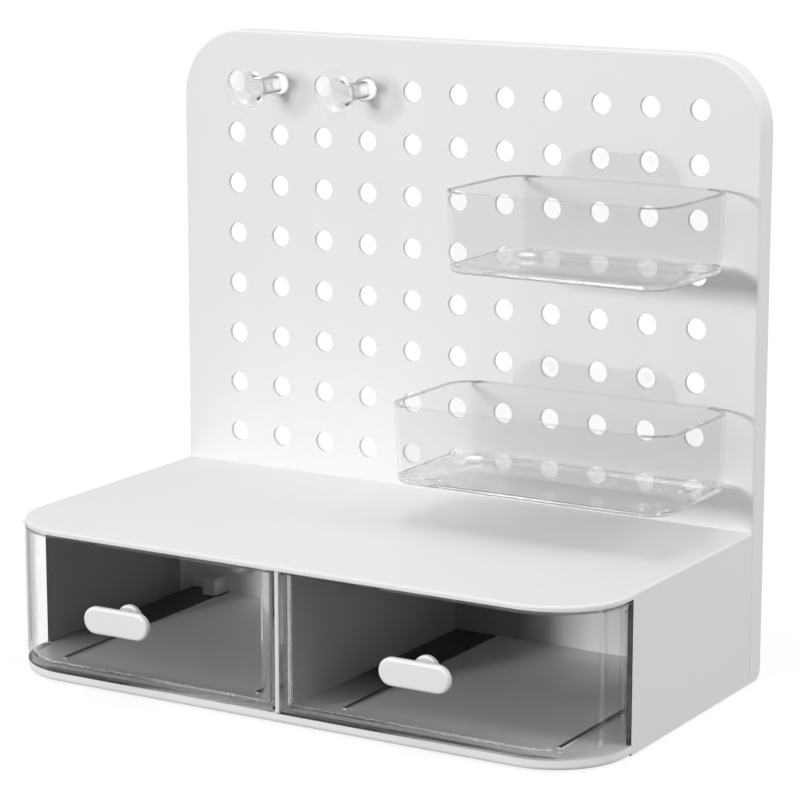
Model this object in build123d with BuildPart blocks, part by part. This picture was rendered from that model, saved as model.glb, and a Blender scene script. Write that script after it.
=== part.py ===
from build123d import *
import os

# Desktop organiser: a perforated back panel over a base with two clear drawers, with
# clear baskets and hooks that plug into the panel. Millimetres, +Z up, the front
# towards -Y. The origin is under the middle of the organiser, where it stands.

# Base box
width = 311.0
base_depth = 160.0
base_height = 71.8
base_corner_radius = 36.0
side_setback = 39.0
wall = 2.5
edge_round = 1.2

# Perforated panel
panel_rise = 216.5
panel_depth = 12.0
panel_skin = 2.0
panel_rim = 2.5
panel_corner_radius = 33.0
panel_foot_round = 5.0
rear_rib_height = 5.0
hole_spacing = 25.0
hole_diameter = 10.0
hole_columns = 11
hole_rows = 8
top_margin = 25.0

# Floor plate, its guide ribs and the divider
floor_thickness = 2.5
floor_lip = 4.5
lip_round = 1.8
skirt = 2.0
guide_height = 0.8
guide_width = 2.0
guide_inset = 22.0
guide_start = 20.0
under_rib = 2.0
floor_tab_length = 12.0
floor_tab_depth = 1.2
floor_tab_spacing = 70.0
fit_gap = 0.1
divider_thickness = 2.5
divider_setback = 0.8
divider_round = 0.8
tenon_length = 12.0
tenon_spacing = 55.0

# Feet
foot_drop = 1.0
foot_diameter = 14.0
foot_inset = 24.0

# Drawers
drawer_wall = 2.0
drawer_side_gap = 0.5
drawer_top_gap = 1.0
drawer_run_gap = 0.2
drawer_rear_space = 12.0
drawer_side_drop = 5.0
drawer_inner_round = 2.0
drawer_corner_round = 3.5

# Handles
handle_length = 35.0
handle_height = 12.5
handle_thickness = 4.0
handle_reach = 13.0
handle_round = 1.4
stem_diameter = 11.0
stem_flange_diameter = 12.5
stem_flange_thickness = 2.0
handle_screw_diameter = 3.0
handle_screw_grip = 8.0
washer_diameter = 9.0
washer_thickness = 0.8

# Screws
screw_diameter = 3.0
screw_head_diameter = 5.6
screw_head_height = 1.8
screw_pilot_gap = 0.05
boss_diameter = 7.0
boss_length = 8.0
panel_screw_inset = 35.0
panel_screw_low = 22.0
panel_screw_high = 58.0
floor_screw_inset = 17.0

# Clear baskets
basket_wall = 2.0
basket_depth = 71.0
basket_height = 37.0
basket_corner_radius = 14.0
basket_draft_inset = 1.8
basket_inner_round = 2.0
basket_standoff = 2.5
seat_gap = 0.3
rim_below_pegs = 9.6
tab_above_pegs = 3.5
tab_side_margin = 17.0
tab_corner_radius = 12.0
tab_toe_round = 1.0
tab_root = 4.0
basket_foot_diameter = 8.0
basket_foot_height = 0.8
basket_foot_inset = 15.0
peg_clearance = 0.3
peg_shoulder_diameter = 11.5
peg_tail = 5.0
peg_tip_round = 1.5
peg_core_diameter = 4.5
peg_core_depth = 7.0
upper_basket_width = 114.0
upper_basket_pegs = (8, 9)
upper_basket_row = 1
lower_basket_width = 144.0
lower_basket_pegs = (7, 9)
lower_basket_row = 5

# Clear hooks
hook_flange_diameter = 12.0
hook_flange_thickness = 2.0
hook_neck_diameter = 8.0
hook_cap_diameter = 23.0
hook_reach = 31.0
hook_cap_edge = 2.4
hook_edge_round = 1.0
hook_dome = 1.0
hook_neck_length = 9.0
hook_row = 0
hook_columns = {"left": 1, "right": 3}

# Levels and planes that follow from the sizes above
total_depth = handle_reach + base_depth + panel_depth
panel_back = total_depth / 2
panel_face = panel_back - panel_depth
base_front = panel_face - base_depth
underside = foot_drop
base_top = underside + base_height
total_height = base_top + panel_rise
floor_top = underside + floor_lip
ceiling = base_top - wall
wall_front = base_front + side_setback
inner_back = panel_face - wall
inner_half_width = width / 2 - wall
top_row_height = total_height - top_margin

drawer_base = floor_top + guide_height + drawer_run_gap
drawer_top = ceiling - drawer_top_gap
drawer_back = inner_back - drawer_rear_space
drawer_step = wall_front - drawer_side_gap
drawer_inner_side = divider_thickness / 2 + drawer_side_gap
drawer_outer_side = inner_half_width - drawer_side_gap
drawer_height = drawer_top - drawer_base
drawer_centre_x = width / 4
handle_height_centre = (drawer_base + drawer_top) / 2
peg_diameter = hole_diameter - 2 * peg_clearance


def column_x(column):
    """Middle of a column of holes, counted from the left."""
    return (column - (hole_columns - 1) / 2) * hole_spacing


def row_z(row):
    """Height of a row of holes, counted from the top."""
    return top_row_height - row * hole_spacing


def finish(name, part):
    """Name a finished piece and write it."""
    part.label = name
    export_step(part, f"parts/{name}.step")


def base_outline(inset):
    """Plan of the base: square at the back, large rounded corners in front."""
    with BuildLine() as outline:
        x = width / 2 - inset
        front = base_front + inset
        FilletPolyline(
            (-x, panel_face),
            (-x, front),
            (x, front),
            (x, panel_face),
            radius=base_corner_radius - inset,
        )
        Line((x, panel_face), (-x, panel_face))
    return outline.wires()[0]


def panel_outline(inset):
    """Front view of the panel: square at the foot, rounded at the top."""
    with BuildLine() as outline:
        x = width / 2 - inset
        top = total_height - inset
        foot = underside + inset
        FilletPolyline((-x, foot), (-x, top), (x, top), (x, foot), radius=panel_corner_radius - inset)
        Line((x, foot), (-x, foot))
    return outline.wires()[0]


def panel_screw_places():
    """Centres of the screws that hold the base to the panel, as X and Z."""
    half = width / 2 - panel_screw_inset
    return [(x, z) for x in (-half, half) for z in (panel_screw_low, panel_screw_high)]


def floor_screw_places():
    """Centres of the screws that hold the floor, as X and Y."""
    y = inner_back - skirt - boss_diameter / 2
    half = inner_half_width - floor_screw_inset
    return [(-half, y), (half, y)]


def make_pegboard_panel():
    """Tall moulded back: a perforated skin with a deep rim round its back."""
    with BuildPart() as panel:
        with BuildSketch(Plane.XZ.offset(-panel_back)):
            make_face(panel_outline(0))
        extrude(amount=panel_depth)
        foot_edge = panel.edges().group_by(Axis.Z)[0].sort_by(Axis.Y)[-1]
        fillet(foot_edge, panel_foot_round)
        fillet(panel.faces().sort_by(Axis.Y)[0].outer_wire().edges(), edge_round)
        with BuildSketch(Plane.XZ.offset(-panel_back)):
            make_face(panel_outline(panel_rim))
        extrude(amount=panel_depth - panel_skin, mode=Mode.SUBTRACT)
        rib_centre_y = panel_face + panel_skin + rear_rib_height / 2
        with Locations((0, rib_centre_y, base_top + panel_rim / 2)):
            Box(width - 2 * panel_rim, rear_rib_height, panel_rim)
        middle_row_z = row_z((hole_rows - 1) / 2)
        with BuildSketch(Plane.XZ.offset(-panel_face)):
            with Locations((0, middle_row_z)):
                with GridLocations(hole_spacing, hole_spacing, hole_columns, hole_rows):
                    Circle(hole_diameter / 2)
            with Locations(*panel_screw_places()):
                Circle(screw_diameter / 2 + screw_pilot_gap)
        extrude(amount=-panel_skin, mode=Mode.SUBTRACT)
    finish("pegboard_panel", panel.part)


def make_base_shell():
    """Moulded cover of the base: top, two sides and a back wall with screw bosses."""
    with BuildPart() as shell:
        with BuildSketch(Plane.XY.offset(ceiling)):
            make_face(base_outline(0))
        extrude(amount=wall)
        top_edges = shell.faces().sort_by(Axis.Z)[-1].edges().sort_by(Axis.Y)[:-1]
        fillet(top_edges, edge_round)
        with BuildSketch(Plane.XY.offset(underside)):
            side_length = panel_face - wall_front
            for side in (-1, 1):
                with Locations((side * (width - wall) / 2, wall_front + side_length / 2)):
                    Rectangle(wall, side_length)
            with Locations((0, panel_face - wall / 2)):
                Rectangle(width, wall)
        extrude(amount=ceiling - underside)
        with BuildSketch(Plane.XZ.offset(-inner_back)):
            with Locations(*panel_screw_places()):
                Circle(boss_diameter / 2)
        extrude(amount=boss_length)
        with BuildSketch(Plane.XY.offset(floor_top)):
            with Locations(*floor_screw_places()):
                Rectangle(boss_diameter, boss_diameter + 2 * skirt)
        extrude(amount=boss_length)
        with BuildSketch(Plane.XZ.offset(-panel_face)):
            with Locations(*panel_screw_places()):
                Circle(screw_diameter / 2 + screw_pilot_gap)
        extrude(amount=wall + boss_length, mode=Mode.SUBTRACT)
        with BuildSketch(Plane.XY.offset(floor_top)):
            with Locations(*floor_screw_places()):
                Circle(screw_diameter / 2 + screw_pilot_gap)
        extrude(amount=boss_length, mode=Mode.SUBTRACT)
        with BuildSketch(Plane.XY.offset(floor_top - floor_thickness)):
            for y in floor_tab_places():
                with Locations((0, y)):
                    Rectangle(
                        2 * (inner_half_width + floor_tab_depth + fit_gap),
                        floor_tab_length + 2 * fit_gap,
                    )
        extrude(amount=floor_thickness + fit_gap, mode=Mode.SUBTRACT)
    finish("base_shell", shell.part)


def floor_footprint():
    """Plan of the floor: the full rounded front, then between the side walls."""
    with BuildSketch() as footprint:
        make_face(base_outline(0))
        side_length = panel_face - wall_front
        for side in (-1, 1):
            with Locations((side * (width - wall) / 2, wall_front + side_length / 2)):
                Rectangle(wall, side_length, mode=Mode.SUBTRACT)
        with Locations((0, panel_face - wall / 2)):
            Rectangle(width, wall, mode=Mode.SUBTRACT)
    return footprint.sketch


def floor_tab_places():
    """Centres of the floor's side tabs along Y."""
    middle = (wall_front + inner_back) / 2
    return [middle - floor_tab_spacing / 2, middle + floor_tab_spacing / 2]


def tenon_places():
    """Centres of the divider's tenons along Y."""
    middle = (base_front + inner_back) / 2
    return [middle - tenon_spacing, middle, middle + tenon_spacing]


def guide_centres():
    """Centres of the drawer guides along X: two under each drawer."""
    inner = divider_thickness / 2 + guide_inset
    outer = inner_half_width - guide_inset
    return [-outer, -inner, inner, outer]


def foot_places():
    """Centres of the four feet."""
    x = width / 2 - foot_inset
    return [(sx * x, y) for sx in (-1, 1) for y in (base_front + foot_inset, inner_back - foot_inset)]


def make_base_floor():
    """Floor plate with a rounded front lip, drawer guides and ribs underneath."""
    plate_underside = floor_top - floor_thickness
    with BuildPart() as floor:
        with BuildSketch(Plane.XY.offset(underside)):
            add(floor_footprint())
        extrude(amount=floor_lip)
        lip_edges = floor.faces().sort_by(Axis.Z)[0].edges().filter_by_position(
            Axis.Y, base_front - fit_gap, wall_front - fit_gap
        )
        fillet(lip_edges, lip_round)
        with BuildSketch(Plane.XY.offset(underside)):
            add(floor_footprint())
            offset(amount=-skirt, kind=Kind.INTERSECTION, mode=Mode.REPLACE)
        extrude(amount=plate_underside - underside, mode=Mode.SUBTRACT)
        rib_length = inner_back - base_front - 2 * skirt
        rib_middle = (inner_back + base_front) / 2
        with BuildSketch(Plane.XY.offset(underside)):
            for x in (-drawer_centre_x, 0, drawer_centre_x):
                with Locations((x, rib_middle)):
                    Rectangle(under_rib, rib_length)
            with Locations((0, rib_middle)):
                Rectangle(2 * (inner_half_width - skirt), under_rib)
        extrude(amount=plate_underside - underside)
        guide_length = drawer_back - base_front - guide_start
        with BuildSketch(Plane.XY.offset(floor_top)):
            for x in guide_centres():
                with Locations((x, base_front + guide_start + guide_length / 2)):
                    Rectangle(guide_width, guide_length)
        extrude(amount=guide_height)
        with BuildSketch(Plane.XY.offset(plate_underside)):
            for y in floor_tab_places():
                with Locations((0, y)):
                    Rectangle(2 * (inner_half_width + floor_tab_depth), floor_tab_length)
        extrude(amount=floor_thickness)
        with BuildSketch(Plane.XY.offset(underside)):
            for y in tenon_places():
                with Locations((0, y)):
                    Rectangle(divider_thickness + 2 * fit_gap, tenon_length + 2 * fit_gap)
            with Locations(*floor_screw_places()):
                Circle(screw_diameter / 2 + screw_pilot_gap)
        extrude(amount=floor_lip, mode=Mode.SUBTRACT)
    finish("base_floor", floor.part)


def make_center_divider():
    """Upright between the drawers, with tenons that drop into slots in the floor."""
    length = inner_back - base_front - divider_setback
    with BuildPart() as divider:
        with BuildSketch(Plane.XY.offset(floor_top)):
            with Locations((0, inner_back - length / 2)):
                Rectangle(divider_thickness, length)
        extrude(amount=ceiling - floor_top)
        front_edges = divider.edges().filter_by(Axis.Z).sort_by(Axis.Y)[:2]
        fillet(front_edges, divider_round)
        with BuildSketch(Plane.XY.offset(floor_top)):
            for y in tenon_places():
                with Locations((0, y)):
                    Rectangle(divider_thickness, tenon_length)
        extrude(amount=-floor_thickness)
    finish("center_divider", divider.part)


def make_screws(name, places, seat, length):
    """Group of pan-head screws: heads stand out of the seat, shanks go in behind it."""
    with BuildPart() as screws:
        with BuildSketch(seat):
            with Locations(*places):
                Circle(screw_head_diameter / 2)
        extrude(amount=screw_head_height)
        with BuildSketch(seat):
            with Locations(*places):
                Circle(screw_diameter / 2)
        extrude(amount=-length)
    finish(name, screws.part)


def make_feet():
    """Four soft pads stuck under the floor plate."""
    corners = ("front_left", "rear_left", "front_right", "rear_right")
    for corner, place in zip(corners, foot_places()):
        with BuildPart() as foot:
            with BuildSketch(Plane.XY):
                with Locations(place):
                    Circle(foot_diameter / 2)
            extrude(amount=floor_top - floor_thickness)
            fillet(foot.faces().sort_by(Axis.Z)[0].edges(), foot_drop / 2)
        finish(f"foot_{corner}", foot.part)


def drawer_plan(inset):
    """Plan of the right-hand drawer: its front wraps the corner as far as the side wall."""
    inner_x = drawer_inner_side + inset
    step_y = drawer_step - inset
    low_corner = (inner_x, base_front + base_corner_radius / 2)
    with BuildSketch() as plan:
        make_face(base_outline(inset))
        with Locations((inner_x, base_front)):
            Rectangle(width, step_y - base_front, align=Align.MIN, mode=Mode.INTERSECT)
        with Locations(low_corner):
            Rectangle(
                drawer_outer_side - inset - inner_x,
                drawer_back - inset - low_corner[1],
                align=Align.MIN,
            )
    return plan.sketch


def make_drawer_tray(side):
    """Clear moulded tray. The left one is the mirror of the right one."""
    with BuildPart() as hollow:
        with BuildSketch(Plane.XY.offset(drawer_base + drawer_wall)):
            add(drawer_plan(drawer_wall))
        extrude(amount=drawer_height)
        uprights = hollow.edges().filter_by(Axis.Z)
        rear_outer = uprights.group_by(Axis.Y)[-1].sort_by(Axis.X)[-1:]
        fillet(uprights.group_by(Axis.X)[0] + rear_outer, drawer_corner_round)
        bottom_edges = hollow.faces().sort_by(Axis.Z)[0].edges()
        fillet(bottom_edges.sort_by(Axis.Y, reverse=True), drawer_inner_round)
    with BuildPart() as tray:
        with BuildSketch(Plane.XY.offset(drawer_base)):
            add(drawer_plan(0))
        extrude(amount=drawer_height)
        add(hollow.part, mode=Mode.SUBTRACT)
        low_length = drawer_back - drawer_step
        with BuildSketch(Plane.XY.offset(drawer_top)):
            with Locations((drawer_centre_x, drawer_step + low_length / 2)):
                Rectangle(width / 2, low_length)
        extrude(amount=-drawer_side_drop, mode=Mode.SUBTRACT)
        with BuildSketch(Plane.XZ.offset(-base_front)):
            with Locations((drawer_centre_x, handle_height_centre)):
                Circle(handle_screw_diameter / 2 + fit_gap)
        extrude(amount=-drawer_wall, mode=Mode.SUBTRACT)
        if side == "left":
            mirror(about=Plane.YZ, mode=Mode.REPLACE)
    finish(f"{side}_drawer_tray", tray.part)


def make_handle(side, x):
    """Pill-shaped pull on a round stem, moulded in one piece."""
    with BuildPart() as handle:
        place = (x, handle_height_centre)
        with BuildSketch(Plane.XZ.offset(handle_reach - base_front)):
            with Locations(place):
                SlotOverall(handle_length, handle_height)
        extrude(amount=-handle_thickness)
        fillet(handle.faces().filter_by(Axis.Y).edges(), handle_round)
        with BuildSketch(Plane.XZ.offset(-base_front)):
            with Locations(place):
                Circle(stem_diameter / 2)
        extrude(amount=handle_reach - handle_thickness)
        with BuildSketch(Plane.XZ.offset(-base_front)):
            with Locations(place):
                Circle(stem_flange_diameter / 2)
        extrude(amount=stem_flange_thickness)
        with BuildSketch(Plane.XZ.offset(-base_front)):
            with Locations(place):
                Circle(handle_screw_diameter / 2 + screw_pilot_gap)
        extrude(amount=handle_screw_grip, mode=Mode.SUBTRACT)
    finish(f"{side}_handle", handle.part)


def make_handle_screw(side, x):
    """Washer inside the drawer's front and the screw that pulls the handle against it."""
    inner_face = base_front + drawer_wall
    place = (x, handle_height_centre)
    with BuildPart() as washer:
        with BuildSketch(Plane.XZ.offset(-inner_face)):
            with Locations(place):
                Circle(washer_diameter / 2)
                Circle(handle_screw_diameter / 2 + screw_pilot_gap, mode=Mode.SUBTRACT)
        extrude(amount=-washer_thickness)
    finish(f"{side}_handle_washer", washer.part)
    with BuildPart() as screw:
        with BuildSketch(Plane.XZ.offset(-inner_face - washer_thickness)):
            with Locations(place):
                Circle(screw_head_diameter / 2)
        extrude(amount=-screw_head_height)
        with BuildSketch(Plane.XZ.offset(-inner_face - washer_thickness)):
            with Locations(place):
                Circle(handle_screw_diameter / 2)
        extrude(amount=washer_thickness + drawer_wall + handle_screw_grip)
    finish(f"{side}_handle_screw", screw.part)


def basket_section(middle_x, basket_width, level, inset):
    """Plan of a basket at a level from 0, its bottom, to 1, its rim. Its back is upright."""
    draft = basket_draft_inset * (1 - level)
    with BuildSketch() as section:
        with Locations((middle_x, panel_face - basket_standoff - inset)):
            RectangleRounded(
                basket_width - 2 * (draft + inset),
                basket_depth - draft - 2 * inset,
                basket_corner_radius - draft - inset,
                align=(Align.CENTER, Align.MAX),
            )
    return section.sketch


def make_basket(name, basket_width, peg_columns, peg_row):
    """Clear tub that hangs on two pegs, which stand on a rounded tab above its back."""
    peg_places = [(column_x(column), row_z(peg_row)) for column in peg_columns]
    middle_x = (peg_places[0][0] + peg_places[1][0]) / 2
    rim = row_z(peg_row) - rim_below_pegs
    bottom = rim - basket_height
    hollow_level = basket_wall / basket_height
    back_plane = Plane.XZ.offset(basket_standoff - panel_face)
    with BuildPart() as basket:
        with BuildSketch(Plane.XY.offset(bottom)):
            add(basket_section(middle_x, basket_width, 0, 0))
        with BuildSketch(Plane.XY.offset(rim)):
            add(basket_section(middle_x, basket_width, 1, 0))
        loft()
        fillet(basket.faces().sort_by(Axis.Z)[0].edges(), basket_inner_round)
        with BuildSketch(back_plane):
            with BuildLine():
                half = (peg_places[1][0] - peg_places[0][0]) / 2 + tab_side_margin
                top = row_z(peg_row) + tab_above_pegs
                toe = half + 2 * tab_toe_round
                FilletPolyline(
                    (middle_x - toe, rim),
                    (middle_x - half, rim),
                    (middle_x - half, top),
                    (middle_x + half, top),
                    (middle_x + half, rim),
                    (middle_x + toe, rim),
                    radius=[tab_toe_round, tab_corner_radius, tab_corner_radius, tab_toe_round],
                )
                Polyline(
                    (middle_x + toe, rim),
                    (middle_x + toe, rim - tab_root),
                    (middle_x - toe, rim - tab_root),
                    (middle_x - toe, rim),
                )
            make_face()
        extrude(amount=basket_wall)
        with BuildSketch(Plane.XY.offset(bottom + basket_wall)):
            add(basket_section(middle_x, basket_width, hollow_level, basket_wall))
        with BuildSketch(Plane.XY.offset(rim)):
            add(basket_section(middle_x, basket_width, 1, basket_wall))
        loft(mode=Mode.SUBTRACT)
        foot_x = basket_width / 2 - basket_draft_inset - basket_foot_inset
        foot_back = panel_face - basket_standoff - basket_foot_inset
        foot_front = foot_back - basket_depth + basket_draft_inset + 2 * basket_foot_inset
        with BuildSketch(Plane.XY.offset(bottom)):
            with Locations(*[(middle_x + s * foot_x, y) for s in (-1, 1) for y in (foot_back, foot_front)]):
                Circle(basket_foot_diameter / 2)
        extrude(amount=-basket_foot_height)
        with BuildSketch(back_plane):
            with Locations(*peg_places):
                Circle(peg_shoulder_diameter / 2)
        extrude(amount=seat_gap - basket_standoff)
        with BuildSketch(back_plane):
            with Locations(*peg_places):
                Circle(peg_diameter / 2)
        extrude(amount=-(basket_standoff + panel_skin + peg_tail))
        fillet(basket.faces().sort_by(Axis.Y)[-2:].edges(), peg_tip_round)
        with BuildSketch(back_plane.offset(basket_wall)):
            with Locations(*peg_places):
                Circle(peg_core_diameter / 2)
        extrude(amount=-peg_core_depth, mode=Mode.SUBTRACT)
    finish(name, basket.part)


def make_hook(side, column):
    """Clear turned-looking knob: a peg, a flange, a flaring neck and a domed cap."""
    neck = hook_neck_diameter / 2
    cap = hook_cap_diameter / 2
    flange = hook_flange_diameter / 2
    peg = peg_diameter / 2
    flange_front = -seat_gap - hook_flange_thickness
    cap_front = hook_dome - hook_reach
    cap_back = cap_front + hook_cap_edge
    tail = panel_skin + peg_tail
    centre = (column_x(column), panel_face, row_z(hook_row))
    with BuildPart() as hook:
        with BuildSketch(Plane(centre)):
            with BuildLine():
                Bezier((0, -hook_reach), (cap / 2, -hook_reach), (cap - hook_edge_round, cap_front))
                RadiusArc(
                    (cap - hook_edge_round, cap_front), (cap, cap_front + hook_edge_round), -hook_edge_round
                )
                Line((cap, cap_front + hook_edge_round), (cap, cap_back))
                Bezier(
                    (cap, cap_back),
                    (neck, cap_back),
                    (neck, flange_front - hook_neck_length),
                    (neck, flange_front),
                )
                Polyline(
                    (neck, flange_front),
                    (flange, flange_front),
                    (flange, -seat_gap),
                    (peg, -seat_gap),
                    (peg, tail - peg_tip_round),
                )
                RadiusArc((peg, tail - peg_tip_round), (peg - peg_tip_round, tail), -peg_tip_round)
                Polyline((peg - peg_tip_round, tail), (0, tail), (0, -hook_reach))
            make_face()
        revolve(axis=Axis(centre, (0, 1, 0)))
    finish(f"{side}_hook", hook.part)


os.makedirs("parts", exist_ok=True)
make_pegboard_panel()
make_base_shell()
make_base_floor()
make_center_divider()
panel_screw_length = panel_skin + wall + boss_length
panel_screw_seat = Plane((0, panel_face + panel_skin, 0), x_dir=(-1, 0, 0), z_dir=(0, 1, 0))
make_screws("panel_screws", panel_screw_places(), panel_screw_seat, panel_screw_length)
floor_screw_seat = Plane((0, 0, floor_top - floor_thickness), x_dir=(-1, 0, 0), z_dir=(0, 0, -1))
make_screws("floor_screws", floor_screw_places(), floor_screw_seat, floor_thickness + boss_length)
make_feet()
for drawer_side, handle_x in (("left", -drawer_centre_x), ("right", drawer_centre_x)):
    make_drawer_tray(drawer_side)
    make_handle(drawer_side, handle_x)
    make_handle_screw(drawer_side, handle_x)
make_basket("upper_basket", upper_basket_width, upper_basket_pegs, upper_basket_row)
make_basket("lower_basket", lower_basket_width, lower_basket_pegs, lower_basket_row)
for hook_side, hook_column in hook_columns.items():
    make_hook(hook_side, hook_column)
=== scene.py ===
import bpy
from mathutils import Matrix, Vector

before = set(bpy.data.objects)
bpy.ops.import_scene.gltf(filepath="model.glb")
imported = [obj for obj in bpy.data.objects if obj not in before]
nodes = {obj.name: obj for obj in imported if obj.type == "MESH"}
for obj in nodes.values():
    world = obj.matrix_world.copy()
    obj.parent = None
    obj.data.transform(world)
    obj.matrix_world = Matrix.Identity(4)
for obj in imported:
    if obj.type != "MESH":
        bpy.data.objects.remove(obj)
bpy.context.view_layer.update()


# Perforated back. One tall injection moulding in white ABS with a grid of round holes. Its
# faces carry the fine grain of a spark-eroded mould, and its colour varies very slightly.
class Value:
    """A node's output. Arithmetic on it adds Math nodes to its finish."""

    def __init__(self, finish, socket):
        self.finish = finish
        self.socket = socket

    def math(self, operation, a, b=None):
        sockets = {0: a} if b is None else {0: a, 1: b}
        return self.finish.node("ShaderNodeMath", {"operation": operation}, sockets)

    def __add__(self, other):
        return self.math("ADD", self, other)

    def __radd__(self, other):
        return self.math("ADD", other, self)

    def __sub__(self, other):
        return self.math("SUBTRACT", self, other)

    def __rsub__(self, other):
        return self.math("SUBTRACT", other, self)

    def __mul__(self, other):
        return self.math("MULTIPLY", self, other)

    def __rmul__(self, other):
        return self.math("MULTIPLY", other, self)

    def __abs__(self):
        return self.math("ABSOLUTE", self)

    def __gt__(self, other):
        return self.math("GREATER_THAN", self, other)

    def __lt__(self, other):
        return self.math("LESS_THAN", self, other)

    def clamped(self):
        return self.math("MINIMUM", self.math("MAXIMUM", self, 0), 1)

    def rise(self, start, end):
        """0 before start, 1 after end, straight in between."""
        sockets = {"Value": self, "From Min": start, "From Max": end}
        return self.finish.node("ShaderNodeMapRange", {"clamp": True}, sockets)


class Finish:
    """One material, or the world's light, made of nodes."""

    def __init__(self, name, store=bpy.data.materials):
        self.material = store.new(name)
        self.material.use_nodes = True
        self.tree = self.material.node_tree
        self.tree.nodes.clear()

    def node(self, kind, settings=None, sockets=None, out=0):
        """Adds a node: its settings first, then the values or links of its sockets."""
        made = self.tree.nodes.new(kind)
        for name, setting in (settings or {}).items():
            setattr(made, name, setting)
        for name, given in (sockets or {}).items():
            if isinstance(given, Value):
                self.tree.links.new(given.socket, made.inputs[name])
            else:
                made.inputs[name].default_value = given
        return Value(self, made.outputs[out]) if made.outputs else None

    def place(self):
        """Where a point lies on the object, in metres."""
        return self.node("ShaderNodeTexCoord", out="Object")

    def axes(self):
        place = self.place()
        return [self.node("ShaderNodeSeparateXYZ", None, {0: place}, axis) for axis in "XYZ"]

    def noise(self, scale, detail=2, roughness=0.5):
        sockets = {"Vector": self.place(), "Scale": scale, "Detail": detail, "Roughness": roughness}
        return self.node("ShaderNodeTexNoise", None, sockets, "Fac")

    def blend(self, factor, first, second):
        """Goes from one colour to the other."""
        sockets = {0: factor, 6: first, 7: second}
        return self.node("ShaderNodeMix", {"data_type": "RGBA"}, sockets, 2)

    def grain(self, height, distance, strength):
        sockets = {"Height": height, "Distance": distance, "Strength": strength}
        return self.node("ShaderNodeBump", None, sockets)

    def show(self, surface):
        self.node("ShaderNodeOutputMaterial", None, {"Surface": surface})

    def coat(self, *names):
        """Puts the finish on CAD nodes."""
        for name in names:
            slots = nodes[name].data.materials
            slots.clear()
            slots.append(self.material)


def grey(level, blue=0.0):
    """A neutral colour, with a touch of blue where asked."""
    return (level, level, level + blue, 1)


moulding_mottle = 9
spark_scale = 2600
spark_depth = 0.00004
spark_strength = 0.35


def show_moulded(finish, colour, mottle, gloss_end):
    """White ABS as it comes from a spark-eroded mould."""
    spark = finish.noise(spark_scale, 2, 0.6)
    finish.show(finish.node("ShaderNodeBsdfPrincipled", None, {
        "Base Color": colour,
        "Roughness": gloss_end + 0.10 * mottle,
        "Normal": finish.grain(spark, spark_depth, spark_strength),
    }))


white_abs = Finish("white_abs")
mottle = white_abs.noise(moulding_mottle, 3)
board_colour = white_abs.blend(mottle, grey(0.84, 0.005), grey(0.87, 0.002))
show_moulded(white_abs, board_colour, mottle, 0.40)
white_abs.coat("pegboard_panel")


# Base cover. One white moulding that closes the top, the sides and the rear. Its inside is
# painted grey as shade, except the rear behind the drawers, which has a painted shadow just
# right of the divider; the cut ends of its walls are painted near black as shade.
inner_half_width = 0.1531
inner_back = 0.0781
ceiling = 0.0704
cut_end_ceiling = 0.0702
drawer_back = 0.0665
wall_front = -0.0404
shade_start, shade_end = 0.036, 0.060

shell_abs = Finish("shell_abs")
x, y, z = shell_abs.axes()
inside = (abs(x) < inner_half_width) * (y < inner_back) * (z < ceiling)
# the cut ends of the walls, painted near black as shade
cut_end = (y < wall_front) * (z < cut_end_ceiling)
# painted shadow on the rear, just right of the divider
painted_shadow = (x > 0) * (1 - x.rise(shade_start, shade_end))
mottle = shell_abs.noise(moulding_mottle, 3)
outer = shell_abs.blend(mottle, grey(0.83, 0.005), grey(0.86, 0.002))
rear_wall_painted_shadow = shell_abs.blend(painted_shadow, grey(0.88, 0.002), grey(0.30, 0.002))
# the inside ahead of the rear is painted grey as shade
painted_shade_inside = shell_abs.blend(y > drawer_back, grey(0.42, 0.003), rear_wall_painted_shadow)
show_face = shell_abs.blend(inside, outer, painted_shade_inside)
shell_colour = shell_abs.blend(cut_end, show_face, grey(0.03))
show_moulded(shell_abs, shell_colour, mottle, 0.40)
shell_abs.coat("base_shell")


# Floor of the base. A white plate with a rounded lip in front, screwed in from below. The
# drawers run on low guides on its top. Under the trays it is painted a little darker as shade.
# The guides, a strip beside each left one and the lip's top under the trays' fronts are painted
# dark as shade, the strip as a painted shadow that grows darker towards the back.
floor_top = 0.0053
guide_top = 0.0061
guide_outer = 0.1300
guide_inner = 0.0245
corner_x, corner_y = 0.1195, -0.0435
lip_inner_radius = 0.0315
left_lip_end, left_lip_fade = -0.060, -0.085
right_lip_fade, right_lip_end = 0.050, 0.080
strip_start, strip_end = -0.060, -0.005

floor_abs = Finish("floor_abs")
x, y, z = floor_abs.axes()
beyond = (abs(x) - corner_x) * (abs(x) > corner_x)
ahead = y - corner_y
# the lip's top under the trays' fronts, painted dark below as shade
lip = (beyond * beyond + ahead * ahead > lip_inner_radius * lip_inner_radius) * (ahead < 0)
lip = lip * (1 - x.rise(left_lip_fade, left_lip_end) * (x < 0))
lip = lip * (1 - x.rise(right_lip_fade, right_lip_end))
beside_guide = (x < -guide_outer) + (x > 0) * (x < guide_inner)
# painted shadow beside each left guide, darker towards the back
painted_shadow_strip = beside_guide * y.rise(strip_start, strip_end)
guide = z > guide_top
mottle = floor_abs.noise(moulding_mottle, 3)
outer = floor_abs.blend(mottle, grey(0.92, 0.002), grey(0.94, 0.002))
# guides and strip painted near black as shade; the floor under the trays painted a little darker
run_painted_shade = floor_abs.blend((painted_shadow_strip + guide).clamped(), grey(0.88, 0.002), grey(0.09))
run_painted_shade = floor_abs.blend(lip, run_painted_shade, grey(0.10))
floor_colour = floor_abs.blend(z > floor_top, outer, run_painted_shade)
show_moulded(floor_abs, floor_colour, mottle, 0.34)
floor_abs.coat("base_floor")


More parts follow.
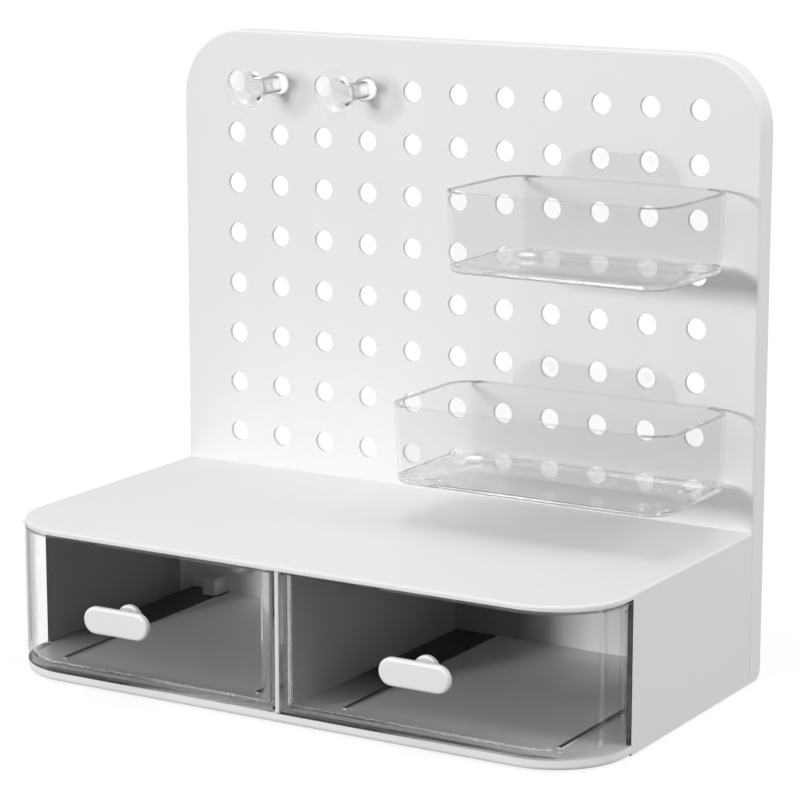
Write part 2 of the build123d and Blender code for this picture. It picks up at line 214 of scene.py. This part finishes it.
# Divider. A white upright between the drawers, held by tenons in the floor and the top. All
# but its front edge is painted darker grey, as shade.
front_edge_start, front_edge_end = -0.0782, -0.0772

divider_abs = Finish("divider_abs")
x, y, z = divider_abs.axes()
mottle = divider_abs.noise(moulding_mottle, 3)
# painted shade on all but the front edge
painted_shade_behind_edge = y.rise(front_edge_start, front_edge_end)
divider_abs.show(divider_abs.node("ShaderNodeBsdfPrincipled", None, {
    "Base Color": divider_abs.blend(painted_shade_behind_edge, grey(0.86), grey(0.58, 0.003)),
    "Roughness": 0.36 + 0.10 * mottle,
}))
divider_abs.coat("center_divider")


# Screws and washers. Zinc-plated steel with a faint brushed ring. They hold the base to the
# back, the floor in the base and each pull to its tray.
brush_scale = 900

zinc = Finish("zinc")
rings = zinc.noise(brush_scale, 2)
zinc.show(zinc.node("ShaderNodeBsdfPrincipled", None, {
    "Base Color": zinc.blend(rings, grey(0.62, 0.02), grey(0.74, 0.02)),
    "Metallic": 1.0,
    "Roughness": 0.28 + 0.12 * rings,
}))
zinc.coat("panel_screws", "floor_screws", "left_handle_screw", "right_handle_screw")
zinc.coat("left_handle_washer", "right_handle_washer")


# Feet. Soft grey foam pads, stuck under the floor, that stop the base from sliding and
# scratching.
pore_scale = 1800
pore_depth = 0.0001

soft_pad = Finish("soft_pad")
pores = soft_pad.noise(pore_scale, 3)
soft_pad.show(soft_pad.node("ShaderNodeBsdfPrincipled", None, {
    "Base Color": soft_pad.blend(pores, grey(0.50), grey(0.58)),
    "Roughness": 0.75 + 0.15 * pores,
    "Normal": soft_pad.grain(pores, pore_depth, 0.4),
}))
for foot in ("front_left", "front_right", "rear_left", "rear_right"):
    soft_pad.coat("foot_" + foot)


# Drawer trays. Clear polystyrene, polished in the mould, with the faintest flow waves. The
# front is solid along its foot and at the end beside the divider. Its edges and its rim are
# painted grey, as dark reflections.
flow_scale = 30
front_face = -0.0735
front_foot = 0.0100
divider_side = 0.0075
tray_rim = 0.0688


def show_clear(finish, thick, edge, tint, edge_painted_dark):
    """See-through from in front, solid where thick, painted darker along rims and outlines as dark
    reflections.
    """
    waves = finish.noise(flow_scale, 2)
    solid = finish.node("ShaderNodeBsdfPrincipled", None, {
        # edges painted towards a darker tint, as dark reflections
        "Base Color": finish.blend(edge, (0.98, 0.985, 0.985, 1), edge_painted_dark),
        "Roughness": 0.004 * waves,
        "Transmission Weight": 1.0,
        "IOR": 1.5,
    })
    see_through = finish.node("ShaderNodeBsdfTransparent", None, {"Color": tint})
    share = (edge + thick).clamped()
    finish.show(finish.node("ShaderNodeMixShader", None, {0: share, 1: see_through, 2: solid}))


def turned_away(finish, start, end):
    """Rises from 0 to 1 where the surface turns edge-on."""
    return finish.node("ShaderNodeLayerWeight", None, {"Blend": 0.5}, "Facing").rise(start, end)


clear_tray = Finish("clear_tray")
x, y, z = clear_tray.axes()
above_foot = z > front_foot
thick = (y < front_face) * (1 - above_foot + (abs(x) < divider_side)) * 0.9
# edges and rim painted grey as dark reflections, and made more refractive
edge = (turned_away(clear_tray, 0.50, 0.92) * above_foot + (z > tray_rim) * 0.4).clamped()
show_clear(clear_tray, thick, edge, (0.98, 0.983, 0.983, 1), grey(0.42, 0.005))
clear_tray.coat("left_drawer_tray", "right_drawer_tray")


# Pulls. White, smoother and brighter than the housing. Each is a pill on a round stem,
# screwed on from inside the tray.
pull_mottle = 60

pull_white = Finish("pull_white")
mottle = pull_white.noise(pull_mottle, 3)
pull_white.show(pull_white.node("ShaderNodeBsdfPrincipled", None, {
    "Base Color": pull_white.blend(mottle, grey(0.91), grey(0.93)),
    "Roughness": 0.30 + 0.08 * mottle,
}))
pull_white.coat("left_handle", "right_handle")


# Baskets. Clear polystyrene tubs with drafted walls, and pegs moulded on a tab behind. The
# rim is painted as a thin dark line, strongest round the ends, and so is a line at the foot,
# as dark reflections; the outlines are painted dark too, and the foot is solid.
between_baskets = 0.1600
lower_rim = 0.1297
rim_to_rim = 0.1000
rim_to_foot = 0.0370
rim_line = 0.0007
foot_line = 0.0011
foot_height = 0.0030
lower_middle = 0.0750
upper_middle_shift = 0.0125
upper_end_shift = 0.0150
rim_end = 0.0590

clear_basket = Finish("clear_basket")
x, y, z = clear_basket.axes()
upper = z > between_baskets
from_rim = z - lower_rim - rim_to_rim * upper
from_foot = from_rim + rim_to_foot
from_middle = abs(x - lower_middle - upper_middle_shift * upper)
end = from_middle + upper_end_shift * upper > rim_end
# painted dark lines at rim and foot, as dark reflections
painted_rim_line = (abs(from_rim) < rim_line) * (0.20 + 0.55 * end) + (abs(from_foot) < foot_line) * 0.45
edge = (turned_away(clear_basket, 0.82, 0.97) + painted_rim_line).clamped()
thick = (abs(from_foot) < foot_height) * 0.6
show_clear(clear_basket, thick, edge, grey(0.968), grey(0.12))
clear_basket.coat("upper_basket", "lower_basket")


# Hooks. Solid clear knobs: a flange, a flaring neck and a domed cap on a peg that plugs into
# the board. Their outlines are painted dark as reflections, darkest on the neck.
neck_front = 0.0540
neck_rear = 0.0800

clear_hook = Finish("clear_hook")
x, y, z = clear_hook.axes()
neck = (y > neck_front) * (y < neck_rear)
# outlines painted near black as dark reflections, widest on the neck
edge = (turned_away(clear_hook, 0.82, 0.97) + neck * turned_away(clear_hook, 0.50, 0.75)).clamped()
show_clear(clear_hook, 0.15 + 0.20 * neck, edge, grey(0.985), grey(0.02))
clear_hook.coat("left_hook", "right_hook")


# Studio. A plain white table under an even dome, a key lamp at the front, one above and a
# fill at the right. The camera stands where the photograph was taken from.
table_half = 3.0
table_near, table_far = 0.25, 2.0
near_white = 0.87
dome_level = 0.38


def looked_at(finish):
    """1 for rays from the camera, also by a mirror or through plastic, and 0 for others."""
    rays = ("Is Camera Ray", "Is Glossy Ray", "Is Transmission Ray", "Diffuse Depth")
    camera, mirror, clear, bounces = [finish.node("ShaderNodeLightPath", out=ray) for ray in rays]
    return (camera + mirror + clear).clamped() * (bounces < 0.5)


table_mesh = bpy.data.meshes.new("table")
corners = [(sx * table_half, sy * table_half, 0) for sx, sy in ((-1, -1), (1, -1), (1, 1), (-1, 1))]
table_mesh.from_pydata(corners, [], [(0, 1, 2, 3)])
table = bpy.data.objects.new("table", table_mesh)
bpy.context.scene.collection.objects.link(table)
table_paint = Finish("table_paint")
x, y, z = table_paint.axes()
white_share = near_white + 0.11 * (x * x + y * y).rise(table_near, table_far)
lift_colour = table_paint.blend(looked_at(table_paint) * white_share, grey(0), grey(1))
lift = table_paint.node("ShaderNodeEmission", None, {"Color": lift_colour})
diffuse = table_paint.node("ShaderNodeBsdfDiffuse", None, {"Color": grey(0.18)})
table_paint.show(table_paint.node("ShaderNodeAddShader", None, {0: diffuse, 1: lift}))
table_mesh.materials.append(table_paint.material)

dome = Finish("studio", bpy.data.worlds)
bpy.context.scene.world = dome.material
dome_colour = dome.blend(looked_at(dome), grey(dome_level), grey(1))
sky = dome.node("ShaderNodeBackground", None, {"Color": dome_colour})
dome.node("ShaderNodeOutputWorld", None, {"Surface": sky})


def hang_lamp(name, place, aim, size, power):
    """A square soft lamp that faces a point."""
    light = bpy.data.lights.new(name, "AREA")
    light.size = size
    light.energy = power
    lamp = bpy.data.objects.new(name, light)
    bpy.context.scene.collection.objects.link(lamp)
    lamp.location = place
    lamp.rotation_euler = (Vector(aim) - Vector(place)).to_track_quat("-Z", "Y").to_euler()


hang_lamp("key", (-1.30, -3.78, 0.88), (0, 0, 0.12), 0.55, 80)
hang_lamp("overhead", (0, -0.4, 2.2), (0, 0, 0), 1.4, 17)
hang_lamp("right_fill", (2.0, 0.5, 0.8), (0.15, 0, 0.15), 1.2, 19)

camera_place = Vector((0.70805, -1.1597, 0.4156))
camera_forward = Vector((-0.5015, 0.8408, -0.2039)).normalized()
camera_up = Vector((-0.1045, 0.1751, 0.9790))
camera_right = camera_forward.cross(camera_up).normalized()
camera_up = camera_right.cross(camera_forward)
lens = bpy.data.cameras.new("photo_camera")
lens.sensor_width = 36
lens.lens = 137.15
lens.clip_end = 20
camera = bpy.data.objects.new("photo_camera", lens)
bpy.context.scene.collection.objects.link(camera)
camera.matrix_world = Matrix((
    (camera_right.x, camera_up.x, -camera_forward.x, camera_place.x),
    (camera_right.y, camera_up.y, -camera_forward.y, camera_place.y),
    (camera_right.z, camera_up.z, -camera_forward.z, camera_place.z),
    (0, 0, 0, 1),
))
bpy.context.scene.camera = camera
bpy.context.scene.view_settings.view_transform = "Standard"
bpy.context.scene.cycles.transparent_max_bounces = 32
